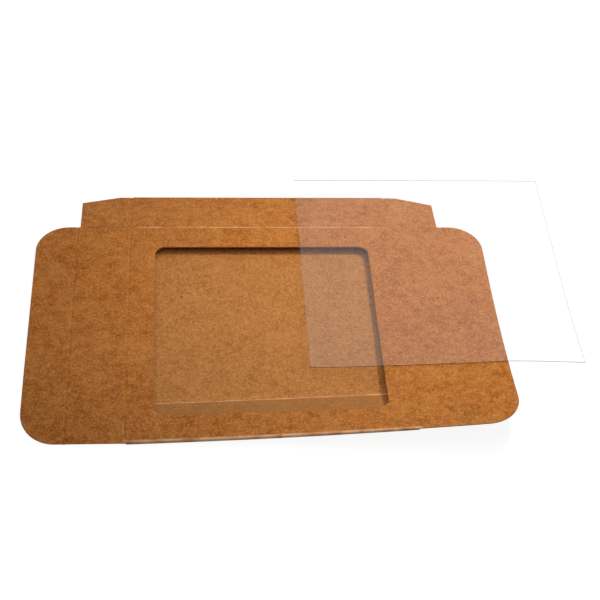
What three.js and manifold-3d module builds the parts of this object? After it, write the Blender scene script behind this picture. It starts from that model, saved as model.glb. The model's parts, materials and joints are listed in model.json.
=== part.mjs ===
// Window carton in kraft board, glued along one side and folded flat, with its loose clear window sheet.
// It lies on its back panel. X runs along the folds, Y from the front fold to the back fold, Z up.
// The origin is under the middle of the front panel, on the surface that the carton lies on.

import * as THREE from 'three';
import { mergeVertices } from 'three/addons/utils/BufferGeometryUtils.js';
import Module from 'manifold-3d';

const wasm = await Module();
wasm.setup();

// Driving dimensions, in millimetres
const boardThickness = 0.45;
const faceLength = 100;
const faceWidth = 100;
const sideDepth = 20;
const springHeight = 4;
const foldInnerRadius = 0.2;
const windowLength = 81;
const windowWidth = 79;
const windowCornerRadius = 4;
const tuckDepth = 15;
const tuckCornerRadius = 12;
const dustFlapLength = 19;
const dustFlapShoulder = 4.5;
const dustFlapTaper = 3.7;
const dustFlapRelief = 1;
const glueFlapWidth = 13;
const glueFlapEndTaper = 6;
const glueRampLength = 1;
const seamSlit = 0.4;
const creaseWidth = 1.3;
const creaseDepth = 0.13;
const hingeGap = 0.3;
const slitClearance = 0.3;
const filmLength = 98.7;
const filmWidth = 96.5;
const filmThickness = 0.25;
const filmClearance = 0.3;
const filmOverhangRight = 28;
const filmOverhangBack = 6.5;
const filmTurnDegrees = 0.2;

// Sizes of the mesh, not of the object
const arcSteps = 8;
const creaseSteps = 6;
const cutMargin = 2;
const overlap = 0.1;

// Sizes worked out from the driving dimensions
const foldOuterRadius = foldInnerRadius + boardThickness;
const halfLength = faceLength / 2;
const halfWidth = faceWidth / 2;
const sideFlat = sideDepth - foldOuterRadius;
const openAngle = Math.asin((springHeight - foldOuterRadius) / Math.hypot(sideFlat, foldOuterRadius))
  - Math.atan2(foldOuterRadius, sideFlat);
const openCos = Math.cos(openAngle);
const openSin = Math.sin(openAngle);
const backFoldY = halfWidth + sideFlat * openCos - foldOuterRadius * openSin;
const frontFoldY = -halfWidth + foldOuterRadius;
const backCreaseY = backFoldY + frontFoldY - halfWidth;
const panelUnderside = springHeight - boardThickness;
const closureDepth = sideDepth;
const closureEnd = halfLength + closureDepth;
const tuckEnd = closureEnd + tuckDepth;
const bodyLeftEnd = -halfLength + hingeGap / 2;

const kraft = new THREE.MeshStandardMaterial({ color: 0xb0713c, roughness: 0.85, metalness: 0 });
const clearFilm = new THREE.MeshStandardMaterial({
  color: 0xf2f5f6, roughness: 0.12, metalness: 0, transparent: true, opacity: 0.25,
});

// Solids and meshes
function toSolid(geometry) {
  const bare = geometry.clone();
  bare.deleteAttribute('normal');
  bare.deleteAttribute('uv');
  const merged = mergeVertices(bare, 1e-5);
  return new wasm.Manifold(new wasm.Mesh({
    numProp: 3,
    vertProperties: new Float32Array(merged.attributes.position.array),
    triVerts: new Uint32Array(merged.index.array),
  }));
}

function toGeometry(solid) {
  const mesh = solid.getMesh();
  const geometry = new THREE.BufferGeometry();
  geometry.setAttribute('position', new THREE.BufferAttribute(mesh.vertProperties, 3));
  geometry.setIndex(new THREE.BufferAttribute(mesh.triVerts, 1));
  geometry.computeVertexNormals();
  return geometry;
}

function joinAll(solids) {
  return solids.reduce((sum, solid) => sum.add(solid));
}

// Prisms: an outline drawn in two axes and pushed along the third, placed by the matrix of those axes
const alongX = new THREE.Matrix4().makeBasis(
  new THREE.Vector3(0, 1, 0), new THREE.Vector3(0, 0, 1), new THREE.Vector3(1, 0, 0));
const alongY = new THREE.Matrix4().makeBasis(
  new THREE.Vector3(1, 0, 0), new THREE.Vector3(0, 0, 1), new THREE.Vector3(0, -1, 0));
const sideSlope = new THREE.Matrix4().makeBasis(
  new THREE.Vector3(1, 0, 0), new THREE.Vector3(0, openCos, -openSin), new THREE.Vector3(0, openSin, openCos));

function prism(shape, start, end, axes = new THREE.Matrix4(), origin = new THREE.Vector3()) {
  const geometry = new THREE.ExtrudeGeometry(shape, {
    depth: end - start, bevelEnabled: false, curveSegments: arcSteps,
  });
  geometry.translate(0, 0, start);
  geometry.applyMatrix4(axes);
  geometry.translate(origin.x, origin.y, origin.z);
  return toSolid(geometry);
}

function pointsOnArc(centre, radius, fromAngle, toAngle) {
  return Array.from({ length: arcSteps + 1 }, (_, step) => {
    const angle = fromAngle + (toAngle - fromAngle) * step / arcSteps;
    return new THREE.Vector2(centre.x + radius * Math.cos(angle), centre.y + radius * Math.sin(angle));
  });
}

// Points across a crease: the surface leaves the flat by a smooth dip, deepest at the corner
function pointsOnCrease(corner, towardsStart, towardsEnd, dipDirection) {
  return Array.from({ length: creaseSteps + 1 }, (_, step) => {
    const across = 2 * step / creaseSteps - 1;
    const reach = Math.abs(across) * creaseWidth / 2;
    const dip = creaseDepth * (1 + Math.cos(Math.PI * across)) / 2;
    return corner.clone()
      .addScaledVector(across < 0 ? towardsStart : towardsEnd, reach)
      .addScaledVector(dipDirection, dip);
  });
}

// Section of the glued tube: front panel on top, side panel behind it, back panel below, side panel in front
const towardsFront = new THREE.Vector2(-1, 0);
const towardsBack = new THREE.Vector2(1, 0);
const downBackSide = new THREE.Vector2(openCos, -openSin);
const upFrontSide = new THREE.Vector2(-openCos, openSin);
const intoTopCrease = new THREE.Vector2(-Math.sin(openAngle / 2), -Math.cos(openAngle / 2));
const intoBottomCrease = intoTopCrease.clone().negate();
const topCrease = new THREE.Vector2(halfWidth, springHeight);
const bottomCrease = new THREE.Vector2(backCreaseY, 0);
const mitre = boardThickness / Math.cos(openAngle / 2);
const topCreaseInside = topCrease.clone().addScaledVector(intoTopCrease, mitre);
const bottomCreaseInside = bottomCrease.clone().addScaledVector(intoBottomCrease, mitre);
const backFold = new THREE.Vector2(backFoldY, foldOuterRadius);
const frontFold = new THREE.Vector2(frontFoldY, springHeight - foldOuterRadius);

function tubeFace(radius, topPoints, bottomPoints) {
  return [
    ...bottomPoints,
    ...pointsOnArc(backFold, radius, -Math.PI / 2, Math.PI / 2 - openAngle),
    ...topPoints,
    ...pointsOnArc(frontFold, radius, Math.PI / 2, 3 * Math.PI / 2 - openAngle),
  ];
}

function tubeSection() {
  const section = new THREE.Shape(tubeFace(
    foldOuterRadius,
    pointsOnCrease(topCrease, downBackSide, towardsFront, intoTopCrease),
    [bottomCrease]));
  section.holes.push(new THREE.Path(tubeFace(
    foldInnerRadius,
    pointsOnCrease(topCreaseInside, downBackSide, towardsFront, intoTopCrease),
    [bottomCreaseInside])));
  return section;
}

// Glue flap: it leaves the back panel by a short ramp and lies against the inside of the front side panel
function glueFlapSection() {
  const onSide = (along, lift) => bottomCreaseInside.clone()
    .addScaledVector(upFrontSide, along)
    .addScaledVector(intoBottomCrease, lift);
  return new THREE.Shape([
    bottomCreaseInside.clone().addScaledVector(towardsBack, glueRampLength),
    onSide(glueRampLength / 2, boardThickness),
    onSide(glueFlapWidth, boardThickness),
    onSide(glueFlapWidth, -overlap),
    bottomCreaseInside.clone().add(new THREE.Vector2(glueRampLength, -overlap)),
  ]);
}

function glueFlap() {
  const strip = prism(glueFlapSection(), bodyLeftEnd, halfLength, alongX);
  const root = backCreaseY + glueRampLength + cutMargin;
  const tip = backCreaseY - glueFlapWidth - cutMargin;
  const taperPerWidth = glueFlapEndTaper / glueFlapWidth;
  const reach = (y) => halfLength - (backCreaseY - y) * taperPerWidth;
  const plan = new THREE.Shape([
    new THREE.Vector2(-reach(root), root), new THREE.Vector2(-reach(tip), tip),
    new THREE.Vector2(reach(tip), tip), new THREE.Vector2(reach(root), root),
  ]);
  return strip.intersect(prism(plan, -cutMargin, springHeight + cutMargin));
}

// Slit along the seam on the underside, where the free edge of the side panel meets the back panel
function seamSlitCut() {
  const along = (distance, lift) => bottomCrease.clone()
    .addScaledVector(upFrontSide, distance)
    .addScaledVector(intoBottomCrease, lift);
  const section = new THREE.Shape([
    along(0, -overlap), along(0, boardThickness - overlap),
    along(seamSlit, boardThickness - overlap), along(seamSlit, -overlap),
  ]);
  return prism(section, -tuckEnd, tuckEnd, alongX);
}

function windowOutline() {
  const x = windowLength / 2;
  const y = windowWidth / 2;
  const r = windowCornerRadius;
  const outline = new THREE.Shape();
  outline.moveTo(-x + r, -y);
  outline.lineTo(x - r, -y);
  outline.absarc(x - r, -y + r, r, -Math.PI / 2, 0, false);
  outline.lineTo(x, y - r);
  outline.absarc(x - r, y - r, r, 0, Math.PI / 2, false);
  outline.lineTo(-x + r, y);
  outline.absarc(-x + r, y - r, r, Math.PI / 2, Math.PI, false);
  outline.lineTo(-x, -y + r);
  outline.absarc(-x + r, -y + r, r, Math.PI, 3 * Math.PI / 2, false);
  return outline;
}

// Closure panel with its tuck flap, drawn to the right of x = inner and mirrored for the left end
const flapHalfWidth = halfWidth - slitClearance;

function closureOutline(inner, outer) {
  return new THREE.Shape([
    new THREE.Vector2(inner, -flapHalfWidth), new THREE.Vector2(outer, -flapHalfWidth),
    new THREE.Vector2(outer, flapHalfWidth), new THREE.Vector2(inner, flapHalfWidth),
  ]);
}

function tuckOutline(inner) {
  const r = Math.min(tuckCornerRadius, tuckDepth, flapHalfWidth);
  const outline = new THREE.Shape();
  outline.moveTo(inner, -flapHalfWidth);
  outline.lineTo(tuckEnd - r, -flapHalfWidth);
  outline.absarc(tuckEnd - r, -flapHalfWidth + r, r, -Math.PI / 2, 0, false);
  outline.lineTo(tuckEnd, flapHalfWidth - r);
  outline.absarc(tuckEnd - r, flapHalfWidth - r, r, 0, Math.PI / 2, false);
  outline.lineTo(inner, flapHalfWidth);
  return outline;
}

function topPlate(outline) {
  return prism(outline, panelUnderside, springHeight);
}

// Crease across the top plate along Y: a groove above and the bead that it raises below
function topCreaseSection(x, faceZ, rise) {
  const edge = Array.from({ length: creaseSteps + 1 }, (_, step) => {
    const across = 2 * step / creaseSteps - 1;
    return new THREE.Vector2(
      x + across * creaseWidth / 2, faceZ - creaseDepth * (1 + Math.cos(Math.PI * across)) / 2);
  });
  return new THREE.Shape([
    ...edge,
    new THREE.Vector2(x + creaseWidth / 2, faceZ + rise), new THREE.Vector2(x - creaseWidth / 2, faceZ + rise),
  ]);
}

function grooveAt(x) {
  return prism(topCreaseSection(x, springHeight, overlap), -halfWidth, halfWidth, alongY);
}

function beadAt(x) {
  return prism(topCreaseSection(x, panelUnderside, overlap), -flapHalfWidth, flapHalfWidth, alongY);
}

// Dust flap of a side panel, drawn on its slope: straight beside the closure panel, tapered on the other side
function dustFlapOutline(inner, slitSide, taperSide) {
  const taperSign = Math.sign(taperSide - slitSide);
  const outer = halfLength + dustFlapLength;
  return new THREE.Shape([
    new THREE.Vector2(inner, slitSide),
    new THREE.Vector2(outer, slitSide),
    new THREE.Vector2(outer, taperSide - taperSign * dustFlapTaper),
    new THREE.Vector2(halfLength + dustFlapShoulder, taperSide),
    new THREE.Vector2(inner, taperSide),
  ]);
}

function backDustFlap(inner) {
  const outline = dustFlapOutline(inner, slitClearance, sideFlat);
  return prism(outline, -boardThickness, 0, sideSlope, new THREE.Vector3(0, topCrease.x, topCrease.y));
}

function frontDustFlap(inner) {
  const outline = dustFlapOutline(inner, -sideFlat + dustFlapRelief, -seamSlit);
  return prism(outline, 0, boardThickness, sideSlope, new THREE.Vector3(0, bottomCrease.x, bottomCrease.y));
}

function mirrored(solid) {
  return solid.mirror([1, 0, 0]);
}

// Folded sheet: the glued tube with its window, its right-hand flaps and the dust flaps of the front side
function cartonBody() {
  const tube = prism(tubeSection(), bodyLeftEnd, halfLength, alongX);
  const sheet = joinAll([
    tube.subtract(prism(windowOutline(), foldOuterRadius + boardThickness, springHeight + cutMargin)),
    glueFlap(),
    topPlate(closureOutline(halfLength - overlap, closureEnd + overlap)),
    topPlate(tuckOutline(closureEnd)),
    beadAt(halfLength),
    beadAt(closureEnd),
    backDustFlap(halfLength - overlap),
    frontDustFlap(halfLength - overlap),
    mirrored(frontDustFlap(halfLength - hingeGap)),
  ]);
  return joinAll([sheet])
    .subtract(grooveAt(halfLength))
    .subtract(grooveAt(closureEnd))
    .subtract(seamSlitCut());
}

function leftClosurePanel() {
  return mirrored(topPlate(closureOutline(halfLength + hingeGap / 2, closureEnd - hingeGap / 2)));
}

function leftTuckFlap() {
  return mirrored(topPlate(tuckOutline(closureEnd + hingeGap / 2)));
}

function leftDustFlap() {
  return mirrored(backDustFlap(halfLength + hingeGap / 2));
}

// Clear window sheet, cut square and lying loose over the right-hand half
function windowFilm() {
  const geometry = new THREE.BoxGeometry(filmLength, filmWidth, filmThickness);
  const film = new THREE.Mesh(geometry, clearFilm);
  film.name = 'window_film';
  film.position.set(
    tuckEnd + filmOverhangRight - filmLength / 2,
    backFoldY + foldOuterRadius + filmOverhangBack - filmWidth / 2,
    springHeight + filmClearance + filmThickness / 2);
  film.rotation.z = THREE.MathUtils.degToRad(filmTurnDegrees);
  return film;
}

function boardPiece(name, solid) {
  const piece = new THREE.Mesh(toGeometry(solid), kraft);
  piece.name = name;
  return piece;
}

const windowCarton = new THREE.Group();
windowCarton.add(
  boardPiece('carton_body', cartonBody()),
  boardPiece('left_closure_panel', leftClosurePanel()),
  boardPiece('left_tuck_flap', leftTuckFlap()),
  boardPiece('left_dust_flap', leftDustFlap()),
  windowFilm(),
);

export default windowCarton;
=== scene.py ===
"""Window carton in kraft board, glued and folded flat, with its loose clear window sheet.

The board is modelled as the real one is made: one sheet that runs from the seam round both folds to the glue
flap. The three flaps that are free to lift are sheets of their own, joined to it by the bent board of each
crease.
"""
import json
import math

import bmesh
import bpy
from mathutils import Matrix, Vector


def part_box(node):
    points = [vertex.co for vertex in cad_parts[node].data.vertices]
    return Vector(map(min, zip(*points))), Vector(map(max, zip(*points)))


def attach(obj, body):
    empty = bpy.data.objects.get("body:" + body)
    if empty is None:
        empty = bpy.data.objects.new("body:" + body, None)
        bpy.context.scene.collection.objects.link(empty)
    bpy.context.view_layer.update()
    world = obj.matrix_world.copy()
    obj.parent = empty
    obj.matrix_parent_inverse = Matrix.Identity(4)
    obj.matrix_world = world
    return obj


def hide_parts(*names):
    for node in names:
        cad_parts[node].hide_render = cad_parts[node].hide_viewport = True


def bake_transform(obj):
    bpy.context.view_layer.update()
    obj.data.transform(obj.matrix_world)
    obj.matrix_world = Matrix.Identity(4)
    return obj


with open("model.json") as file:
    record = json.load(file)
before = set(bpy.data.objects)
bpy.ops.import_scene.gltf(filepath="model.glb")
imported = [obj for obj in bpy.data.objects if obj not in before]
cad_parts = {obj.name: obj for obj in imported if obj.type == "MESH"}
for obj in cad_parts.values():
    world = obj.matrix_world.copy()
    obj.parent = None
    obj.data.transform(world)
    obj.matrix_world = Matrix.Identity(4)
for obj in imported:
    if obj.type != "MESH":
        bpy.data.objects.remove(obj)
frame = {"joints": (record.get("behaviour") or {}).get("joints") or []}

bl_info = {
    "name": "Window carton",
    "version": (1, 0, 0),
    "blender": (4, 5, 0),
    "location": "3D View > Sidebar > Carton",
    "description": "Models a kraft window carton, folded flat, with its clear sheet",
    "category": "Object",
}

MM = 0.001

# Places read from the frame
JOINT = {joint["name"]: joint for joint in frame["joints"]}
CLOSURE_CREASE = Vector(JOINT["closure_crease"]["pos_m"])
TUCK_CREASE = Vector(JOINT["tuck_crease"]["pos_m"])
DUST_CREASE = Vector(JOINT["dust_flap_crease"]["pos_m"])
SIDE_SLOPE = Vector(JOINT["dust_flap_crease"]["axis"]).normalized()
SIDE_NORMAL = Vector((0, -SIDE_SLOPE.z, SIDE_SLOPE.y))
CLOSURE_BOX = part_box("left_closure_panel")
TUCK_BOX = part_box("left_tuck_flap")
DUST_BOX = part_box("left_dust_flap")
BODY_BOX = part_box("carton_body")
FILM_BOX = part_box("window_film")
HALF_LENGTH = -CLOSURE_CREASE.x
HALF_WIDTH = DUST_CREASE.y
FACE_HEIGHT = CLOSURE_CREASE.z
SLIT = 0.1 * MM
FLAP_HALF_WIDTH = HALF_WIDTH - SLIT
CLOSURE_END = -TUCK_CREASE.x
TUCK_END = -TUCK_BOX[0].x
DUST_END = -DUST_BOX[0].x
BOARD = CLOSURE_BOX[1].z - CLOSURE_BOX[0].z

# Places closer than this count as the same place
TOUCH = 0.01 * MM


# Sizes and colours that a user would change

def length_property(name, description, millimetres):
    return bpy.props.FloatProperty(
        name=name, description=description, default=millimetres * MM, unit="LENGTH", precision=5)


def colour_property(name, description, hex_code):
    return bpy.props.FloatVectorProperty(
        name=name, description=description, subtype="COLOR", size=3, min=0, max=1, default=linear(hex_code))


def linear(hex_code):
    """The linear colour of an sRGB hex value."""
    channels = [int(hex_code[place:place + 2], 16) / 255 for place in (0, 2, 4)]
    return tuple(c / 12.92 if c <= 0.04045 else ((c + 0.055) / 1.055) ** 2.4 for c in channels)


class CartonSizes(bpy.types.PropertyGroup):
    fold_radius: length_property("Fold radius", "Inside radius of the two tight folds", 0.2)
    crease_width: length_property("Crease width", "Width of a pressed crease", 1.3)
    crease_depth: length_property("Crease depth", "Depth of a pressed crease", 0.13)
    window_length: length_property("Window length", "Window along the folds", 81)
    window_width: length_property("Window width", "Window across the folds", 79)
    window_radius: length_property("Window corner radius", "Radius of the window's corners", 4)
    tuck_radius: length_property("Tuck corner radius", "Radius of the tuck flaps' outer corners", 12)
    dust_shoulder: length_property("Dust flap shoulder", "Straight part of a dust flap's outer side", 4.5)
    dust_taper: length_property("Dust flap taper", "Narrowing of a dust flap to its tip", 3.7)
    glue_width: length_property("Glue flap width", "Width of the flap inside the front side panel", 13)
    glue_ramp: length_property("Glue flap ramp", "Step over which the glue flap rises to the side panel", 1)
    seam_slit: length_property("Seam slit", "Slit along the seam on the underside", 0.4)
    film_length: length_property("Sheet length", "Clear sheet along the folds", 98.7)
    film_width: length_property("Sheet width", "Clear sheet across the folds", 96.5)


class CartonSpring(bpy.types.PropertyGroup):
    front_lift: length_property("Front lift", "How far the middle of the front fold springs up", 0.25)
    dust_droop: length_property("Dust flap droop", "How far the tip of the right dust flap hangs", 1.0)
    front_twist: bpy.props.FloatProperty(
        name="Front twist", description="Rise of the front edge for each unit of length to the right",
        default=0.063, precision=4)
    front_curl: bpy.props.FloatProperty(
        name="Front curl", description="Rise of the front edge with the square of the distance, per metre",
        default=0.29, precision=3)
    front_press: length_property("Front press", "How far the front left corner is pressed down at most", 2.2)
    crease_swing: bpy.props.FloatProperty(
        name="Crease swing", description="Turn in plan of the inner crease behind the front fold",
        default=0.050, precision=4)
    film_droop: length_property("Sheet droop", "How far the clear sheet's front right corner hangs", 1.4)


class CartonColours(bpy.types.PropertyGroup):
    kraft: colour_property("Kraft", "Body colour of the board", "c2742e")
    kraft_dark: colour_property("Kraft dark", "Darker pulp between the fibres", "965113")
    kraft_light: colour_property("Kraft light", "Paler long fibres", "da9753")
    # Also the painted highlight on the glue flap's bead, and the pale flecks in the pulp.
    kraft_worn_and_bead_highlight: colour_property("Kraft worn and bead highlight", "Stretched fibres along a fold", "ecbc90")
    kraft_inside: colour_property("Kraft inside", "Back of the board, a little paler and greyer", "b8814b")
    # Painted shade: darkens the glue flap seen through the window, which lies in the dark under the front
    # panel.
    glue_flap_painted_shade: colour_property("Glue flap shade", "Painted shade on the glue flap, which lies in the dark under the front panel", "895b30")
    board_core: colour_property("Board core", "Cut edge of the board", "dcac80")
    shive: colour_property("Shive", "Dark specks of bark in the pulp", "5f3413")
    film_edge: colour_property("Sheet edge", "Cut edge of the clear sheet", "3c4044")
    # Painted light: the back edge of the clear sheet is painted paler, to take out the shade on it.
    film_back_edge_painted_light: colour_property("Sheet back edge", "Back edge, painted paler to take out its shade", "e2e5e7")
    floor: colour_property("Floor", "Floor and backdrop", "f2f2f2")


# Selecting and shaping, as by hand

SMOOTH_ANGLE = math.radians(35)


def clear_selection():
    if bpy.context.object and bpy.context.object.mode != "OBJECT":
        bpy.ops.object.mode_set(mode="OBJECT")
    bpy.ops.object.select_all(action="DESELECT")


def hold(piece):
    """Makes the piece the only selected object."""
    clear_selection()
    piece.select_set(True)
    bpy.context.view_layer.objects.active = piece


def start_row(name, start, end, cuts):
    """Adds a plane, keeps one of its edges from start to end and divides it: the first row of a sheet."""
    clear_selection()
    bpy.ops.mesh.primitive_plane_add(size=1)
    sheet = bpy.context.object
    sheet.name = name
    sheet.data.name = name
    bpy.ops.object.mode_set(mode="EDIT")
    bpy.context.tool_settings.mesh_select_mode = (True, False, False)
    bpy.ops.mesh.select_all(action="DESELECT")
    grid = bmesh.from_edit_mesh(sheet.data)
    for vertex in grid.verts:
        vertex.select_set(vertex.co.y > 0)
    grid.select_flush_mode()
    bpy.ops.mesh.delete(type="VERT")
    grid = bmesh.from_edit_mesh(sheet.data)
    grid.verts.ensure_lookup_table()
    for vertex, place in zip(grid.verts, (start, end)):
        vertex.co = place
    bmesh.update_edit_mesh(sheet.data)
    bpy.context.tool_settings.mesh_select_mode = (False, True, False)
    bpy.ops.mesh.select_all(action="SELECT")
    bpy.ops.mesh.subdivide(number_cuts=cuts)
    return sheet


def pull_row(step):
    """Extrudes the selected row of edges by one step."""
    bpy.ops.mesh.extrude_region_move(TRANSFORM_OT_translate={"value": step})


def pull_through(places):
    """Extrudes the selected row from the first place to each next one."""
    for here, there in zip(places, places[1:]):
        pull_row(Vector(there) - Vector(here))


def narrow_row(scale, centre):
    bpy.ops.transform.resize(value=scale, center_override=centre)


def pick_rim(sheet, test):
    """Selects the open edges of the sheet whose two ends pass the test."""
    bpy.ops.mesh.select_all(action="DESELECT")
    grid = bmesh.from_edit_mesh(sheet.data)
    rim = [edge for edge in grid.edges if edge.is_boundary and all(test(vertex.co) for vertex in edge.verts)]
    if not rim:
        raise RuntimeError(f"No open edge of {sheet.name} passes the test")
    for edge in rim:
        edge.select_set(True)
    bmesh.update_edit_mesh(sheet.data)


def face_outwards(sheet, looks_out):
    """Turns all faces over if the sheet's outer side doesn't look out."""
    grid = bmesh.from_edit_mesh(sheet.data)
    bpy.ops.mesh.select_all(action="SELECT")
    if sum(face.normal.dot(looks_out(face)) for face in grid.faces) < 0:
        bpy.ops.mesh.flip_normals()
    bpy.ops.object.mode_set(mode="OBJECT")


def apply_modifier(piece, kind, **settings):
    hold(piece)
    bpy.ops.object.modifier_add(type=kind)
    modifier = piece.modifiers[-1]
    for name, value in settings.items():
        setattr(modifier, name, value)
    bpy.ops.object.modifier_apply(modifier=modifier.name)


def give_thickness(sheet, thickness):
    """Thickens the sheet inwards. The rims take the second material, the cut edge."""
    apply_modifier(
        sheet, "SOLIDIFY", thickness=thickness, offset=-1, use_even_offset=True, use_rim=True,
        material_offset_rim=1)


def smooth(piece):
    hold(piece)
    bpy.ops.object.shade_smooth_by_angle(angle=SMOOTH_ANGLE)


# The section of the folded sheet, as places (y, z) on its outer side

def arc(centre, radius, start, end, steps):
    return [
        (centre[0] + radius * math.cos(start + (end - start) * step / steps),
         centre[1] + radius * math.sin(start + (end - start) * step / steps))
        for step in range(steps + 1)
    ]


def spaced(start, end, gap):
    """Places from start to end, about gap apart, without the two ends."""
    start, end = Vector(start), Vector(end)
    count = max(1, round((end - start).length / gap))
    return [tuple(start.lerp(end, step / count)) for step in range(1, count)]


def crease_offsets(width, depth, steps=8):
    """(distance across, dip) over a pressed crease: a smooth groove, deepest in the middle."""
    return [
        (width * (step / steps - 0.5), depth * (1 - math.cos(2 * math.pi * step / steps)) / 2)
        for step in range(steps + 1)
    ]


ROW_GAP = 2.5 * MM
RAMP_GAP = 0.4 * MM
ARC_STEPS = 14
GLUE_LINE = 0.03 * MM


class Section:
    """The tube's cross-section in the YZ plane."""

    def __init__(self, sizes):
        self.sizes = sizes
        self.radius = sizes.fold_radius + BOARD
        self.angle = math.atan2(-SIDE_SLOPE.z, SIDE_SLOPE.y)
        self.down_back = Vector((SIDE_SLOPE.y, SIDE_SLOPE.z))
        self.up_front = -self.down_back
        self.out_of_side = Vector((SIDE_NORMAL.y, SIDE_NORMAL.z))
        self.top_crease = Vector((HALF_WIDTH, FACE_HEIGHT))
        self.back_fold = Vector((BODY_BOX[1].y - self.radius, self.radius))
        self.front_fold = Vector((-HALF_WIDTH + self.radius, FACE_HEIGHT - self.radius))
        self.bottom_crease = self.back_fold + self.front_fold - self.top_crease

    def side_tangent(self, fold, sign):
        return fold + sign * self.radius * self.out_of_side

    def front_side(self):
        """Side panel in front, from the seam up to the front fold."""
        start = self.bottom_crease + self.up_front * self.sizes.seam_slit
        end = self.side_tangent(self.front_fold, -1)
        return [tuple(start), *spaced(start, end, ROW_GAP)]

    def front_arc(self):
        return arc(self.front_fold, self.radius, 1.5 * math.pi - self.angle, 0.5 * math.pi, ARC_STEPS)

    def front_panel(self):
        guard = self.sizes.crease_width / 2
        start = Vector((self.front_fold.x + guard, FACE_HEIGHT))
        end = self.top_crease - Vector((guard, 0))
        return [tuple(start), *spaced(start, end, ROW_GAP)]

    def top_crease_row(self):
        into = -(Vector((0, 1)) + self.out_of_side).normalized()
        places = []
        for across, dip in crease_offsets(self.sizes.crease_width, self.sizes.crease_depth):
            along = Vector((across, 0)) if across < 0 else self.down_back * across
            places.append(tuple(self.top_crease + along + into * dip))
        return places

    def back_side(self):
        start = self.top_crease + self.down_back * self.sizes.crease_width / 2
        return spaced(start, self.side_tangent(self.back_fold, 1), ROW_GAP)

    def back_arc(self):
        return arc(self.back_fold, self.radius, 0.5 * math.pi - self.angle, -0.5 * math.pi, ARC_STEPS)

    def back_panel(self):
        start = Vector((self.back_fold.x, 0))
        end = Vector((self.bottom_crease.x + self.sizes.glue_ramp, 0))
        return [*spaced(start, end, ROW_GAP), tuple(end)]

    def glue_flap(self):
        inside = self.bottom_crease + self.out_of_side * (BOARD + GLUE_LINE)
        start = inside + self.up_front * self.sizes.glue_ramp / 2
        end = inside + self.up_front * self.sizes.glue_width
        ramp_start = Vector((self.bottom_crease.x + self.sizes.glue_ramp, 0))
        return [*spaced(ramp_start, start, RAMP_GAP), tuple(start), *spaced(start, end, ROW_GAP), tuple(end)]

    def places(self):
        return [
            *self.front_side(), *self.front_arc(), *self.front_panel(), *self.top_crease_row(),
            *self.back_side(), *self.back_arc(), *self.back_panel(), *self.glue_flap(),
        ]


# The spring of the board: a real carton that was folded flat doesn't lie dead flat

LEFT_START = -14 * MM
RIGHT_START = 22 * MM
FRONT_EDGE = -50 * MM
FULL_REACH = 1.05
SWING_PLACE = -30 * MM
SWING_REACH = 20 * MM
SWING_SHIFT = 1.9 * MM


def spring_lift(x, y, move):
    """Rise of the top layer: none at the back, most at the front right, where it starts further back."""
    start = LEFT_START + (RIGHT_START - LEFT_START) * min(max(x / TUCK_END, 0), 1)
    reach = min(max((start - y) / (start - FRONT_EDGE), 0), FULL_REACH)
    front = move.front_lift + move.front_twist * x + move.front_curl * x * x
    return max(front, -move.front_press) * reach ** 2


def spring(place, move):
    """Where the flat place goes when the board springs: the top layer lifts, the inner crease swings."""
    x, y, z = place
    rise = FACE_HEIGHT - 2 * (BOARD + bpy.context.scene.carton_sizes.fold_radius)
    top_share = min(max(z / rise, 0), 1)
    lift = spring_lift(x, y, move) * top_share
    nearness = max(0, 1 - abs(y - SWING_PLACE) / SWING_REACH)
    blend_in = nearness * nearness * (3 - 2 * nearness)
    swing = (move.crease_swing * x - SWING_SHIFT) * blend_in * (1 - top_share)
    beyond = max(0, (x - HALF_LENGTH) / (DUST_END - HALF_LENGTH)) if y > HALF_WIDTH else 0
    return Vector((x, y + swing, z + lift - move.dust_droop * beyond ** 1.5))


def let_spring(piece, move):
    for vertex in piece.data.vertices:
        vertex.co = spring(vertex.co, move)
    piece.data.update()


def mark_inside(piece, outer_count):
    """Marks the back of the board: solidify puts its vertices after those of the outer side."""
    inside = piece.data.attributes.new("board_inside", "FLOAT", "POINT")
    for index in range(len(piece.data.vertices)):
        inside.data[index].value = 0.0 if index < outer_count else 1.0


# Materials

SHEET_MIRROR = 0.06


def new_material(name):
    material = bpy.data.materials.new(name)
    material.use_nodes = True
    material.node_tree.nodes.clear()
    return material, material.node_tree


def add_node(tree, kind, inputs=None, **settings):
    """Adds a node with its settings. An input takes a value, a socket or another node's first output."""
    node = tree.nodes.new(kind)
    for name, value in settings.items():
        setattr(node, name, value)
    for name, value in (inputs or {}).items():
        if isinstance(value, bpy.types.Node):
            value = next(output for output in value.outputs if output.enabled)
        if isinstance(value, bpy.types.NodeSocket):
            tree.links.new(value, node.inputs[name])
        else:
            node.inputs[name].default_value = value
    return node


def opaque(rgb):
    return (*rgb, 1)


def grain_scale(size_mm, stretch=1.0):
    """Mapping scale for noise cells of size_mm across the grain and stretch times that along X."""
    return (1000 / (size_mm * stretch), 1000 / size_mm, 1000 / size_mm)


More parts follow.
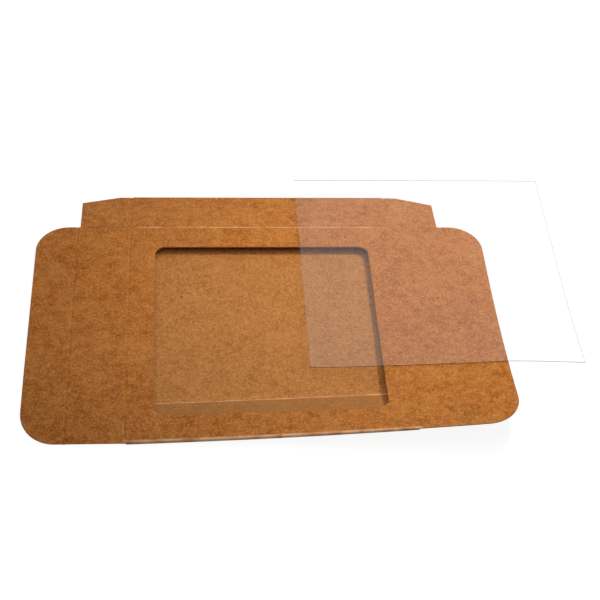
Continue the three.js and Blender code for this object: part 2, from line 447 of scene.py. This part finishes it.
def kraft_board(colours):
    """Face and back of the board."""
    # Uncoated kraft board from a paper machine: matt, mottled pulp with pale fibres and a few bark specks
    material, tree = new_material("uncoated_kraft_board")
    place = add_node(tree, "ShaderNodeTexCoord").outputs["Object"]
    pulp = {}
    for name, size_mm, stretch, detail, roughness in (
            ("clouds", 9, 1.1, 2, 0.5),
            ("mottle", 2.5, 1.15, 3, 0.55),
            ("fibres", 0.82, 1, 2, 0.55),
            ("flecks", 0.6, 1.6, 1, 0.4),
            ("shives", 0.75, 1.3, 1, 0.3),
            ("rubbed", 7, 1, 2, 0.5)):
        grain = add_node(tree, "ShaderNodeMapping", {"Vector": place, "Scale": grain_scale(size_mm, stretch)})
        pulp[name] = add_node(
            tree, "ShaderNodeTexNoise",
            {"Vector": grain, "Scale": 1, "Detail": detail, "Roughness": roughness})
    marks = {}
    for name in ("board_inside", "glue_flap_painted_shade", "crease_wear_and_bead_highlight"):
        marks[name] = add_node(tree, "ShaderNodeAttribute", attribute_name=name).outputs["Fac"]
    patchy = add_node(
        tree, "ShaderNodeMapRange",
        {"Value": pulp["rubbed"], "From Min": 0.38, "From Max": 0.62, "To Min": 0.25})
    worn = add_node(tree, "ShaderNodeMath", {0: marks["crease_wear_and_bead_highlight"], 1: patchy}, operation="MULTIPLY")

    tone = opaque(colours.kraft_dark)
    for source, low, high, most, tint in (
            (pulp["mottle"], 0.29, 0.67, 1, colours.kraft),
            (marks["board_inside"], 0, 1, 0.5, colours.kraft_inside),
            (pulp["fibres"], 0.46, 0.74, 0.65, colours.kraft_light),
            (pulp["fibres"], 0.46, 0.22, 0.6, colours.kraft_dark),
            (pulp["clouds"], 0.35, 0.65, 0.2, colours.kraft_light),
            (pulp["flecks"], 0.66, 0.78, 0.22, colours.kraft_worn_and_bead_highlight),
            (pulp["shives"], 0.67, 0.78, 0.5, colours.shive),
            # Painted shade on the glue flap under the front panel
            (marks["glue_flap_painted_shade"], 0, 1, 0.45, colours.glue_flap_painted_shade),
            # Pale fibres along the folds, and a painted highlight on the glue bead
            (worn, 0, 1, 1, colours.kraft_worn_and_bead_highlight)):
        share = add_node(
            tree, "ShaderNodeMapRange", {"Value": source, "From Min": low, "From Max": high, "To Max": most})
        tone = add_node(tree, "ShaderNodeMix", {0: share, 6: tone, 7: opaque(tint)}, data_type="RGBA")

    coarse = add_node(tree, "ShaderNodeMath", {0: pulp["mottle"], 1: 0.8}, operation="MULTIPLY")
    relief = add_node(tree, "ShaderNodeMath", {0: pulp["fibres"], 1: coarse}, operation="ADD")
    bump = add_node(tree, "ShaderNodeBump", {"Height": relief, "Strength": 0.35, "Distance": 0.06 * MM})
    board = add_node(
        tree, "ShaderNodeBsdfPrincipled",
        {"Base Color": tone, "Normal": bump, "Roughness": 0.55, "IOR": 1.45, "Specular IOR Level": 0.13})
    add_node(tree, "ShaderNodeOutputMaterial", {"Surface": board})
    return material


def board_core(colours):
    """Cut edge of the board."""
    # Bare pulp core of the board, cut through by a steel-rule die: paler than the face, in layers
    material, tree = new_material("die_cut_board_core")
    place = add_node(tree, "ShaderNodeTexCoord").outputs["Object"]
    grain = add_node(tree, "ShaderNodeMapping", {"Vector": place, "Scale": grain_scale(0.16, 6)})
    layers = add_node(
        tree, "ShaderNodeTexNoise", {"Vector": grain, "Scale": 1, "Detail": 2, "Roughness": 0.5})
    share = add_node(tree, "ShaderNodeMapRange", {"Value": layers, "From Min": 0.3, "From Max": 0.7})
    tone = add_node(
        tree, "ShaderNodeMix", {0: share, 6: opaque(colours.kraft), 7: opaque(colours.board_core)},
        data_type="RGBA")
    bump = add_node(tree, "ShaderNodeBump", {"Height": layers, "Strength": 0.4, "Distance": 0.04 * MM})
    core = add_node(tree, "ShaderNodeBsdfPrincipled", {"Base Color": tone, "Normal": bump, "Roughness": 0.9})
    add_node(tree, "ShaderNodeOutputMaterial", {"Surface": core})
    return material


def clear_sheet_material():
    """Faces of the clear sheet: so thin that it bends no light, each face mirrors a little of the room."""
    # Clear rigid PVC, calendered between polished rolls, which leave a slight ripple
    material, tree = new_material("clear_calendered_pvc")
    place = add_node(tree, "ShaderNodeTexCoord").outputs["Object"]
    grain = add_node(tree, "ShaderNodeMapping", {"Vector": place, "Scale": grain_scale(30, 1.5)})
    ripple = add_node(
        tree, "ShaderNodeTexNoise", {"Vector": grain, "Scale": 1, "Detail": 1, "Roughness": 0.4})
    bump = add_node(tree, "ShaderNodeBump", {"Height": ripple, "Strength": 0.05, "Distance": 0.2 * MM})
    mirror = add_node(
        tree, "ShaderNodeBsdfPrincipled",
        {"Base Color": (1, 1, 1, 1), "Metallic": 1, "Roughness": 0.03, "Normal": bump})
    through = add_node(tree, "ShaderNodeBsdfTransparent")
    slant = add_node(tree, "ShaderNodeLayerWeight", {"Blend": 0.5}).outputs["Facing"]
    grazing = add_node(tree, "ShaderNodeMath", {0: slant, 1: 5}, operation="POWER")
    share = add_node(tree, "ShaderNodeMapRange", {"Value": grazing, "To Min": SHEET_MIRROR})
    sheet = add_node(tree, "ShaderNodeMixShader", {0: share, 1: through, 2: mirror})
    add_node(tree, "ShaderNodeOutputMaterial", {"Surface": sheet})
    return material


def sheet_edge_material(name, tone):
    """Cut edge of the clear sheet, a thin line."""
    # Rigid PVC frosted by the blade that cut it
    material, tree = new_material(name)
    place = add_node(tree, "ShaderNodeTexCoord").outputs["Object"]
    grain = add_node(tree, "ShaderNodeMapping", {"Vector": place, "Scale": grain_scale(0.3)})
    chatter = add_node(
        tree, "ShaderNodeTexNoise", {"Vector": grain, "Scale": 1, "Detail": 2, "Roughness": 0.5})
    bump = add_node(tree, "ShaderNodeBump", {"Height": chatter, "Strength": 0.3, "Distance": 0.03 * MM})
    edge = add_node(
        tree, "ShaderNodeBsdfPrincipled",
        {"Base Color": opaque(tone), "Roughness": 0.45, "IOR": 1.53, "Normal": bump})
    add_node(tree, "ShaderNodeOutputMaterial", {"Surface": edge})
    return material


def board_materials():
    """The face and the cut edge of the board, made once and shared."""
    names = ("uncoated_kraft_board", "die_cut_board_core")
    if all(name in bpy.data.materials for name in names):
        return [bpy.data.materials[name] for name in names]
    colours = bpy.context.scene.carton_colours
    return [kraft_board(colours), board_core(colours)]


# Finishing a board piece: thickness, cuts, spring, wear, painted shade and highlight, and material

FRONT_FOLD_WEAR = 1.4
BACK_CREASE_WEAR = 0.7
# The bead's pale line is partly crease wear and partly a painted highlight
GLUE_BEAD_WEAR_AND_HIGHLIGHT = 1.3


def finish_board(sheet, cutters=()):
    scene = bpy.context.scene
    sizes = scene.carton_sizes
    for material in board_materials():
        sheet.data.materials.append(material)
    outer_count = len(sheet.data.vertices)
    give_thickness(sheet, BOARD)
    mark_inside(sheet, outer_count)
    for cutter in cutters:
        apply_modifier(sheet, "BOOLEAN", operation="DIFFERENCE", solver="EXACT", object=cutter)
        bpy.data.objects.remove(cutter)
    mark_wear_and_painted_light(sheet, sizes)
    let_spring(sheet, scene.carton_spring)
    smooth(sheet)
    return sheet


def mark_wear_and_painted_light(piece, sizes):
    """Writes at each vertex how far the fibres are stretched, over 1 at the front fold, with a painted
    highlight on the glue bead, and a painted shade on the glue flap.
    """
    section = Section(sizes)
    wear = piece.data.attributes.new("crease_wear_and_bead_highlight", "FLOAT", "POINT")
    glued = piece.data.attributes.new("glue_flap_painted_shade", "FLOAT", "POINT")
    half_crease = sizes.crease_width / 2
    bead = section.bottom_crease.x + 0.45 * sizes.glue_ramp
    for index, vertex in enumerate(piece.data.vertices):
        x, y, z = vertex.co
        on_body = abs(x) <= HALF_LENGTH + 0.2 * MM
        value = 0.0
        if on_body and y < section.front_fold.x + TOUCH and z > FACE_HEIGHT - 2.2 * section.radius:
            value = FRONT_FOLD_WEAR
        near_top = 1 - abs(y - HALF_WIDTH) / (0.7 * half_crease)
        if abs(x) < HALF_LENGTH - half_crease and near_top > 0 and z > FACE_HEIGHT - BOARD / 2:
            value = max(value, BACK_CREASE_WEAR * near_top)
        # Pale line of the bead: partly crease wear, partly a painted highlight
        near_bead = 1 - abs(y - bead) / (0.5 * sizes.glue_ramp)
        if near_bead > 0 and BOARD / 2 < z < 3 * BOARD:
            value = max(value, min(1, GLUE_BEAD_WEAR_AND_HIGHLIGHT * near_bead))
        wear.data[index].value = value
        # Painted shade: the glue flap lies in the dark under the front panel and is painted darker
        over_side = (Vector((y, z)) - section.bottom_crease).dot(section.out_of_side)
        below_face = z < FACE_HEIGHT - 1.5 * BOARD
        on_glue_flap = y < section.bottom_crease.x and over_side > 0.8 * BOARD and below_face
        glued.data[index].value = 1.0 if on_glue_flap else 0.0


# Rows of places that the flaps are pulled through

COLUMNS = 40
DUST_COLUMNS = 7
TUCK_STEPS = 16
DUST_STEPS = 6
RIGHT_CREASE = 0.35
CORNER = 0.05 * MM
FRONT_DUST_RELIEF = 1 * MM


def crease_along_x(x, sizes, sign=1, share=1.0):
    """Places (x, 0, z) over a crease at x, going the way sign says, pressed by a share of the full depth."""
    return [
        Vector((x + sign * across, 0, -dip * share))
        for across, dip in crease_offsets(sizes.crease_width, sizes.crease_depth)
    ]


def plain_run(start, end):
    """Places along X from start to end, with both ends."""
    between = [place[0] for place in spaced((start, 0), (end, 0), ROW_GAP)]
    return [Vector((x, 0, 0)) for x in (start, *between, end)]


def pull_tuck(sign, start, sizes):
    """Pulls the tuck flap from x = start to its end, rounding both outer corners as it goes."""
    radius = sizes.tuck_radius
    pull_through(plain_run(start, sign * (TUCK_END - radius)))
    half = FLAP_HALF_WIDTH
    x = sign * (TUCK_END - radius)
    for step in range(1, TUCK_STEPS + 1):
        turn = 0.5 * math.pi * step / TUCK_STEPS
        next_x = sign * (TUCK_END - radius + radius * math.sin(turn))
        next_half = FLAP_HALF_WIDTH - radius + radius * math.cos(turn)
        pull_row((next_x - x, 0, 0))
        narrow_row((1, next_half / half, 1), (0, 0, FACE_HEIGHT))
        x, half = next_x, next_half


def pull_dust(sign, start, slit_place, width, sizes):
    """Pulls a dust flap from x = start: straight over its shoulder, then narrowing to its tip."""
    shoulder_x = sign * (HALF_LENGTH + sizes.dust_shoulder)
    pull_through(plain_run(start, shoulder_x))
    x = shoulder_x
    now = width
    for step in range(1, DUST_STEPS + 1):
        next_x = shoulder_x + (sign * DUST_END - shoulder_x) * step / DUST_STEPS
        following = width - sizes.dust_taper * step / DUST_STEPS
        pull_row((next_x - x, 0, 0))
        share = following / now
        narrow_row((1, share, share), (next_x, slit_place.y, slit_place.z))
        x, now = next_x, following


class CARTON_OT_body(bpy.types.Operator):
    """Folded and glued sheet of kraft board, with its window and its right-hand flaps"""
    bl_idname = "carton.body"
    bl_label = "Carton body"

    def execute(self, context):
        sizes = context.scene.carton_sizes
        section = Section(sizes)
        places = section.places()
        left = -HALF_LENGTH + sizes.crease_width / 2
        right = HALF_LENGTH - sizes.crease_width / 2
        first = places[0]
        sheet = start_row("carton_board", (left, *first), (right, *first), COLUMNS)
        pull_through([(0, *place) for place in places])
        self.pull_right_flaps(sheet, section, sizes, right)
        self.pull_free_edges(sheet, section, sizes, left, right)
        face_outwards(sheet, lambda face: Vector((0, 0, 1 if face.calc_center_median().z > 2 * MM else -1)))
        finish_board(sheet, [window_cutter(sizes)])
        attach(sheet, "root")
        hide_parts("carton_body")
        return {"FINISHED"}

    def pull_right_flaps(self, sheet, section, sizes, right):
        face = FACE_HEIGHT - TOUCH

        def on_front_panel(co):
            return (co.x > right - TOUCH and co.z > face - sizes.crease_depth
                    and section.front_fold.x - TOUCH < co.y < HALF_WIDTH - SLIT)

        pick_rim(sheet, on_front_panel)
        pull_row((CORNER, 0, 0))
        widen_to_flap(sheet)
        flatten_row(sheet, Vector((0, 0, FACE_HEIGHT)), Vector((0, 0, 1)))
        crease = crease_along_x(HALF_LENGTH, sizes, share=RIGHT_CREASE)
        crease[0].x += CORNER
        pull_through(crease)
        pull_through(plain_run(HALF_LENGTH + sizes.crease_width / 2, CLOSURE_END - sizes.crease_width / 2))
        pull_through(crease_along_x(CLOSURE_END, sizes, share=RIGHT_CREASE))
        pull_tuck(1, CLOSURE_END + sizes.crease_width / 2, sizes)
        slit = section.top_crease + section.down_back * SLIT
        width = (section.side_tangent(section.back_fold, 1) - slit).length

        def on_back_side(co):
            along = (Vector((co.y, co.z)) - section.top_crease).dot(section.down_back)
            return (abs(co.x - right) < TOUCH and co.z > section.radius and -TOUCH < along
                    and co.y < section.side_tangent(section.back_fold, 1).x + TOUCH)

        pick_rim(sheet, on_back_side)
        pull_through(crease_along_slope(HALF_LENGTH, sizes))
        flatten_row(sheet, Vector((0, *slit)), SIDE_NORMAL)
        pull_dust(1, HALF_LENGTH + sizes.crease_width / 2, Vector((0, *slit)), width, sizes)

    def pull_free_edges(self, sheet, section, sizes, left, right):
        seam = section.bottom_crease + section.up_front * sizes.seam_slit
        fold = section.side_tangent(section.front_fold, -1)
        width = (seam - fold).length

        for sign, edge in ((-1, left), (1, right)):
            def on_back_panel(co, edge=edge):
                return (abs(co.x - edge) < TOUCH and co.z < TOUCH
                        and co.y > section.bottom_crease.x + sizes.glue_ramp - TOUCH)

            pick_rim(sheet, on_back_panel)
            pull_row((sign * (HALF_LENGTH - abs(edge)), 0, 0))

            def on_front_side(co, edge=edge):
                above = (Vector((co.y, co.z)) - section.bottom_crease).dot(section.out_of_side)
                return (abs(co.x - edge) < TOUCH and abs(above) < TOUCH
                        and fold.x + FRONT_DUST_RELIEF < co.y < seam.x + TOUCH)

            pick_rim(sheet, on_front_side)
            pull_dust(sign, edge, Vector((0, *fold)), width, sizes)


def crease_along_slope(x, sizes, sign=1):
    """Places over the crease of a dust flap: the groove dips square to the sloping side panel."""
    return [
        Vector((x + sign * across, 0, 0)) - SIDE_NORMAL * dip
        for across, dip in crease_offsets(sizes.crease_width, sizes.crease_depth)
    ]


def widen_to_flap(sheet):
    """Moves the two ends of the selected row out to the flap's own width."""
    grid = bmesh.from_edit_mesh(sheet.data)
    chosen = [vertex for vertex in grid.verts if vertex.select]
    front = min(chosen, key=lambda vertex: vertex.co.y)
    back = max(chosen, key=lambda vertex: vertex.co.y)
    front.co.y = -FLAP_HALF_WIDTH
    back.co.y = FLAP_HALF_WIDTH
    bmesh.update_edit_mesh(sheet.data)


def flatten_row(sheet, point, normal):
    """Lays the selected row on a plane: the flaps are flat next to their creases."""
    grid = bmesh.from_edit_mesh(sheet.data)
    for vertex in grid.verts:
        if vertex.select:
            vertex.co -= normal * (vertex.co - point).dot(normal)
    bmesh.update_edit_mesh(sheet.data)


def window_cutter(sizes):
    """Block with round upright edges, the shape of the window, that reaches through the front panel only."""
    clear_selection()
    bpy.ops.mesh.primitive_cube_add(size=1, location=(0, 0, FACE_HEIGHT))
    cutter = bpy.context.object
    cutter.name = "window_cutter"
    cutter.scale = (sizes.window_length, sizes.window_width, 4 * BOARD)
    bpy.ops.object.transform_apply(location=True, rotation=False, scale=True)
    bpy.ops.object.mode_set(mode="EDIT")
    bpy.context.tool_settings.mesh_select_mode = (False, True, False)
    bpy.ops.mesh.select_all(action="DESELECT")
    block = bmesh.from_edit_mesh(cutter.data)
    for edge in block.edges:
        upright = abs(edge.verts[0].co.z - edge.verts[1].co.z) > BOARD
        edge.select_set(upright)
    bmesh.update_edit_mesh(cutter.data)
    bpy.ops.mesh.bevel(offset=sizes.window_radius, segments=12, affect="EDGES")
    bpy.ops.object.mode_set(mode="OBJECT")
    for material in board_materials():
        cutter.data.materials.append(material)
    for face in cutter.data.polygons:
        face.material_index = 1
    return cutter


class CARTON_OT_left_flaps(bpy.types.Operator):
    """Left closure panel with its tuck flap and the bent board of both creases"""
    bl_idname = "carton.left_flaps"
    bl_label = "Left closure panel and tuck flap"

    def execute(self, context):
        sizes = context.scene.carton_sizes
        half = sizes.crease_width / 2
        crease = self.strip("closure_crease_board", -HALF_LENGTH, sizes)
        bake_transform(crease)
        panel = self.row("closure_board", -HALF_LENGTH - half)
        pull_through(plain_run(-HALF_LENGTH - half, -CLOSURE_END + half))
        self.close(panel)
        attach(panel, "closure_panel")
        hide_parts("left_closure_panel")
        crease = self.strip("tuck_crease_board", -CLOSURE_END, sizes)
        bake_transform(crease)
        tuck = self.row("tuck_board", -CLOSURE_END - half)
        pull_tuck(-1, -CLOSURE_END - half, sizes)
        self.close(tuck)
        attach(tuck, "tuck_flap")
        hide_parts("left_tuck_flap")
        return {"FINISHED"}

    def row(self, name, x):
        return start_row(
            name, (x, -FLAP_HALF_WIDTH, FACE_HEIGHT), (x, FLAP_HALF_WIDTH, FACE_HEIGHT), COLUMNS)

    def strip(self, name, x, sizes):
        strip = self.row(name, x + sizes.crease_width / 2)
        pull_through(crease_along_x(x, sizes, -1))
        self.close(strip)
        return strip

    def close(self, sheet):
        face_outwards(sheet, lambda face: Vector((0, 0, 1)))
        finish_board(sheet)


class CARTON_OT_left_dust_flap(bpy.types.Operator):
    """Left dust flap of the back side panel and the bent board of its crease"""
    bl_idname = "carton.left_dust_flap"
    bl_label = "Left dust flap"

    def execute(self, context):
        sizes = context.scene.carton_sizes
        section = Section(sizes)
        half = sizes.crease_width / 2
        slit = section.top_crease + section.down_back * SLIT
        end = section.side_tangent(section.back_fold, 1)
        crease = self.row("dust_crease_board", -HALF_LENGTH + half, slit, end)
        pull_through(crease_along_slope(-HALF_LENGTH, sizes, -1))
        self.close(crease)
        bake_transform(crease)
        flap = self.row("dust_board", -HALF_LENGTH - half, slit, end)
        pull_dust(-1, -HALF_LENGTH - half, Vector((0, *slit)), (end - slit).length, sizes)
        self.close(flap)
        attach(flap, "dust_flap")
        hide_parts("left_dust_flap")
        return {"FINISHED"}

    def row(self, name, x, slit, end):
        return start_row(name, (x, *slit), (x, *end), DUST_COLUMNS)

    def close(self, sheet):
        face_outwards(sheet, lambda face: SIDE_NORMAL)
        finish_board(sheet)


SHEET_CELLS = 40
SHEET_TURN = math.radians(0.2)


class CARTON_OT_clear_sheet(bpy.types.Operator):
    """Loose clear sheet that lies over the right half of the carton"""
    bl_idname = "carton.clear_sheet"
    bl_label = "Clear window sheet"

    def execute(self, context):
        sizes = context.scene.carton_sizes
        move = context.scene.carton_spring
        low, high = FILM_BOX
        centre = (low + high) / 2
        thickness = high.z - low.z
        clear_selection()
        bpy.ops.mesh.primitive_grid_add(
            x_subdivisions=SHEET_CELLS, y_subdivisions=SHEET_CELLS, size=1, location=(0, 0, 0))
        sheet = context.object
        sheet.name = "clear_sheet"
        sheet.data.name = "clear_sheet"
        sheet.scale = (sizes.film_length, sizes.film_width, 1)
        bpy.ops.object.transform_apply(location=False, rotation=False, scale=True)
        sheet.data.materials.append(clear_sheet_material())
        colours = context.scene.carton_colours
        sheet.data.materials.append(sheet_edge_material("guillotined_pvc_edge", colours.film_edge))
        # The back edge is painted paler: painted light that takes out its shade
        sheet.data.materials.append(sheet_edge_material("back_pvc_edge_painted_light", colours.film_back_edge_painted_light))
        apply_modifier(
            sheet, "SOLIDIFY", thickness=thickness, offset=0, use_even_offset=True, material_offset_rim=1)
        turn = Matrix.Rotation(SHEET_TURN, 3, "Z")
        for vertex in sheet.data.vertices:
            place = turn @ vertex.co + centre
            front = 0.5 - vertex.co.y / sizes.film_width
            past = max(0, (place.x - TUCK_END) / (high.x - TUCK_END))
            droop = move.film_droop * past ** 1.5 * (0.3 + 0.7 * front)
            rest = spring_lift(min(place.x, TUCK_END), place.y, move)
            vertex.co = place + Vector((0, 0, rest - droop))
        sheet.data.update()
        # Faces of the rim that look back take the paler colour: painted light
        for face in sheet.data.polygons:
            if face.material_index == 1 and face.normal.y > 0.5:
                face.material_index = 2
        smooth(sheet)
        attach(sheet, "root")
        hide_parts("window_film")
        return {"FINISHED"}


# Stage: floor, lamps, world and camera

CAMERA_PLACE = Vector((-29.6, -313.9, 366.3)) * MM
CAMERA_AIM = Vector((12.8, 12.07, 4.0)) * MM
CAMERA_ROLL = math.radians(5.257)
CAMERA_LENS = 79.73
CAMERA_SENSOR = 36
FLOOR_DROP = 0.05 * MM
FLOOR_SIZE = 6.0
FLOOR_SHARE = 0.22
FLOOR_WHITE = 1.08
# Name, place in metres, width of the disc and how brightly it lights the floor under it
SOFTBOXES = (
    ("broad_softbox", Vector((0.006, 0.022, 0.120)), 0.22, 0.52),
    ("right_softbox", Vector((0.125, 0.080, 0.195)), 0.05, 0.82),
)
BACK_TURN = Vector((-0.10, 0.93, 0.35))
BACK_STRENGTH = 0.26
BACK_SOFTNESS = math.radians(30)
ROOM_FILL = 0.04
MIRRORED_ROOM = 0.62


def seen_straight(tree):
    """1 for what the camera sees, also mirrored or through the clear sheet; 0 for light on a surface."""
    ray = add_node(tree, "ShaderNodeLightPath")
    camera = add_node(
        tree, "ShaderNodeMath", {0: ray.outputs["Is Camera Ray"], 1: ray.outputs["Is Transmission Ray"]},
        operation="MAXIMUM")
    seen = add_node(tree, "ShaderNodeMath", {0: camera, 1: ray.outputs["Is Glossy Ray"]}, operation="MAXIMUM")
    first = add_node(tree, "ShaderNodeMath", {0: ray.outputs["Diffuse Depth"], 1: 0.5}, operation="LESS_THAN")
    return add_node(tree, "ShaderNodeMath", {0: seen, 1: first}, operation="MULTIPLY")


class CARTON_OT_stage(bpy.types.Operator):
    """Pale floor, soft studio light and the camera"""
    bl_idname = "carton.stage"
    bl_label = "Stage"

    def execute(self, context):
        self.add_floor(context.scene.carton_colours)
        self.add_lamps()
        self.set_world(context.scene)
        self.add_camera(context.scene)
        context.scene.view_settings.view_transform = "Standard"
        return {"FINISHED"}

    def add_floor(self, colours):
        clear_selection()
        bpy.ops.mesh.primitive_plane_add(size=FLOOR_SIZE, location=(0, 0, 0))
        floor = bpy.context.object
        floor.name = "floor"
        for vertex in floor.data.vertices:
            vertex.co.z = -FLOOR_DROP
        # Matt white background paper off the roll
        material, tree = new_material("white_paper_floor")
        paper = add_node(tree, "ShaderNodeBsdfDiffuse", {"Color": opaque(colours.floor)})
        shaded = add_node(tree, "ShaderNodeBsdfDiffuse", {"Color": opaque([FLOOR_SHARE] * 3)})
        glow = add_node(tree, "ShaderNodeEmission", {"Strength": self.missing_white(tree)})
        seen = add_node(tree, "ShaderNodeAddShader", {0: shaded, 1: glow})
        surface = add_node(tree, "ShaderNodeMixShader", {0: seen_straight(tree), 1: paper, 2: seen})
        add_node(tree, "ShaderNodeOutputMaterial", {"Surface": surface})
        floor.data.materials.append(material)

    def missing_white(self, tree):
        """What the lamps' own light on the floor lacks to plain white, so that only a shadow shows on it."""
        place = add_node(tree, "ShaderNodeTexCoord").outputs["Object"]
        even = BACK_STRENGTH * BACK_TURN.normalized().z / math.pi + ROOM_FILL
        lack = FLOOR_WHITE - even * FLOOR_SHARE
        for _, above, size, level in SOFTBOXES:
            height = above.z ** 2 + size ** 2 / 4
            foot = Vector((above.x, above.y, 0))
            away = add_node(tree, "ShaderNodeVectorMath", {0: place, 1: foot}, operation="DISTANCE")
            square = add_node(tree, "ShaderNodeMath", {0: away.outputs["Value"], 1: 2}, operation="POWER")
            slant = add_node(tree, "ShaderNodeMath", {0: square, 1: height}, operation="ADD")
            drop = add_node(tree, "ShaderNodeMath", {0: height, 1: slant}, operation="DIVIDE")
            falloff = add_node(tree, "ShaderNodeMath", {0: drop, 1: 2}, operation="POWER")
            lit = add_node(tree, "ShaderNodeMath", {0: falloff, 1: level * FLOOR_SHARE}, operation="MULTIPLY")
            lack = add_node(tree, "ShaderNodeMath", {0: lack, 1: lit}, operation="SUBTRACT")
        return lack

    def add_lamps(self):
        """Two softboxes close above, whose light falls off around them, and a far one low at the back."""
        for name, above, size, level in SOFTBOXES:
            bpy.ops.object.light_add(type="AREA", location=above)
            lamp = bpy.context.object
            lamp.name = name
            lamp.data.shape = "DISK"
            lamp.data.size = size
            lamp.data.energy = level * math.pi ** 2 * (above.z ** 2 + size ** 2 / 4)
            lamp.visible_camera = False
            lamp.visible_glossy = False
        bpy.ops.object.light_add(
            type="SUN", location=BACK_TURN, rotation=(-BACK_TURN).to_track_quat("-Z", "Y").to_euler())
        back = bpy.context.object
        back.name = "back_softbox"
        back.data.energy = BACK_STRENGTH
        back.data.angle = BACK_SOFTNESS

    def set_world(self, scene):
        """White where seen, a little darker in a mirror, and dim as light on the surfaces."""
        world = bpy.data.worlds.new("white_studio")
        scene.world = world
        world.use_nodes = True
        tree = world.node_tree
        tree.nodes.clear()
        ray = add_node(tree, "ShaderNodeLightPath")
        seen = add_node(
            tree, "ShaderNodeMapRange",
            {"Value": ray.outputs["Is Glossy Ray"], "To Min": 1, "To Max": MIRRORED_ROOM})
        strength = add_node(
            tree, "ShaderNodeMix", {0: seen_straight(tree), 2: ROOM_FILL, 3: seen}, data_type="FLOAT")
        room = add_node(tree, "ShaderNodeBackground", {"Color": (1, 1, 1, 1), "Strength": strength})
        add_node(tree, "ShaderNodeOutputWorld", {"Surface": room})

    def add_camera(self, scene):
        bpy.ops.object.camera_add(location=CAMERA_PLACE)
        camera = bpy.context.object
        camera.data.lens = CAMERA_LENS
        camera.data.sensor_width = CAMERA_SENSOR
        camera.data.clip_start = 0.01
        look = (CAMERA_AIM - CAMERA_PLACE).to_track_quat("-Z", "Y").to_matrix().to_4x4()
        camera.matrix_world = Matrix.Translation(CAMERA_PLACE) @ look @ Matrix.Rotation(CAMERA_ROLL, 4, "Z")
        scene.camera = camera


class CARTON_PT_panel(bpy.types.Panel):
    bl_idname = "CARTON_PT_panel"
    bl_label = "Window carton"
    bl_space_type = "VIEW_3D"
    bl_region_type = "UI"
    bl_category = "Carton"

    def draw(self, context):
        for operator in OPERATORS:
            self.layout.operator(operator.bl_idname)
        for group in ("carton_sizes", "carton_spring", "carton_colours"):
            box = self.layout.box()
            for name in getattr(context.scene, group).__annotations__:
                box.prop(getattr(context.scene, group), name)


OPERATORS = (
    CARTON_OT_body,
    CARTON_OT_left_flaps,
    CARTON_OT_left_dust_flap,
    CARTON_OT_clear_sheet,
    CARTON_OT_stage,
)
GROUPS = {
    "carton_sizes": CartonSizes,
    "carton_spring": CartonSpring,
    "carton_colours": CartonColours,
}


def register():
    for group in GROUPS.values():
        bpy.utils.register_class(group)
    for name, group in GROUPS.items():
        setattr(bpy.types.Scene, name, bpy.props.PointerProperty(type=group))
    for operator in OPERATORS:
        bpy.utils.register_class(operator)
    bpy.utils.register_class(CARTON_PT_panel)


def unregister():
    bpy.utils.unregister_class(CARTON_PT_panel)
    for operator in reversed(OPERATORS):
        bpy.utils.unregister_class(operator)
    for name in GROUPS:
        delattr(bpy.types.Scene, name)
    for group in reversed(GROUPS.values()):
        bpy.utils.unregister_class(group)


def main():
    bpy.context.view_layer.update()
    register()
    bpy.ops.carton.body()
    bpy.ops.carton.left_flaps()
    bpy.ops.carton.left_dust_flap()
    bpy.ops.carton.clear_sheet()
    bpy.ops.carton.stage()


if __name__ == "__main__":
    main()
